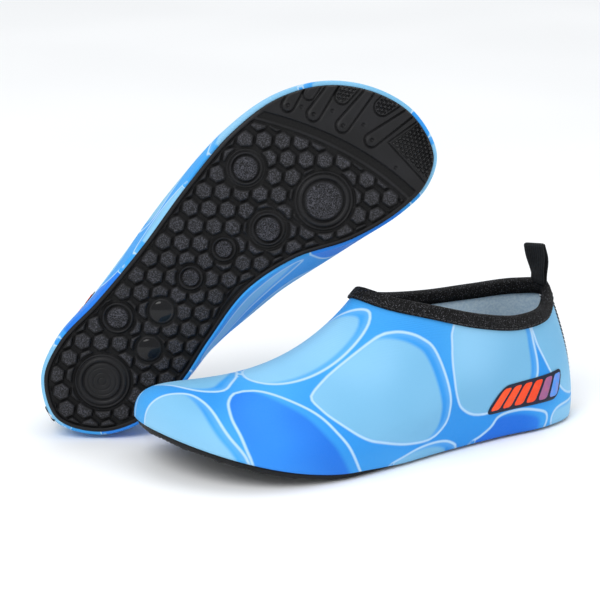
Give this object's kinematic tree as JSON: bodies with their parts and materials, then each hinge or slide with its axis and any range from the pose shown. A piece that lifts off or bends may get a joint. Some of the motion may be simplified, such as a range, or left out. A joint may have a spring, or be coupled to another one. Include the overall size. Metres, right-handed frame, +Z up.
{
  "type": "water shoes",
  "caption": "Pair of slip-on water shoes with printed stretch uppers, bound collars, heel pull tabs and studded flexible rubber soles; one stands, the other shows its tread.",
  "frame": {"origin": "middle of the pair's bounding box, on the floor", "axes": "+Z up; -Y faces the viewer who sees the standing shoe from its little-toe side and the other shoe's tread; +X to that viewer's right"},
  "size_m": [0.2838, 0.1714, 0.1857],
  "materials": {
    "outsole_rubber": "matte moulded rubber with glossy raised edges",
    "board_fabric": "plain non-woven lasting board",
    "insole_foam": "foam faced with ribbed knit",
    "printed_fabric": "smooth stretch knit with a printed pattern of pale-edged cells",
    "lining_fabric": "soft brushed knit",
    "edging_fabric": "black stretch binding with a light fleck",
    "tab_webbing": "black ribbed webbing",
    "emblem_film": "satin raised transfer film"
  },
  "bodies": {
    "left_shoe": {"left_outsole": "outsole_rubber", "left_lasting_board": "board_fabric", "left_insole": "insole_foam", "left_upper": "printed_fabric", "left_lining": "lining_fabric", "left_heel_tape": "edging_fabric", "left_collar_binding": "edging_fabric", "left_emblem": "emblem_film"},
    "right_shoe": {"right_outsole": "outsole_rubber", "right_lasting_board": "board_fabric", "right_insole": "insole_foam", "right_upper": "printed_fabric", "right_lining": "lining_fabric", "right_heel_tape": "edging_fabric", "right_collar_binding": "edging_fabric", "right_emblem": "emblem_film"},
    "left_tab": {"left_pull_tab": "tab_webbing"},
    "right_tab": {"right_pull_tab": "tab_webbing"}
  },
  "joints": [
    {"name": "right_lift", "type": "slide", "parent": "left_shoe", "child": "right_shoe", "axis": [0, 0, 1], "range_m": [0, 0.15]},
    {"name": "left_tab_fold", "type": "hinge", "parent": "left_shoe", "child": "left_tab", "pos_m": [0.12498, 0.05111, 0.0746], "axis": [0.5299, -0.848, 0], "range_deg": [-90, 70], "stiffness_Nm_per_rad": 0.003},
    {"name": "right_tab_fold", "type": "hinge", "parent": "right_shoe", "child": "right_tab", "pos_m": [-0.12495, 0.0647, 0.01284], "axis": [0.7039, -0.0375, -0.7093], "range_deg": [-130, 25], "stiffness_Nm_per_rad": 0.003}
  ]
}
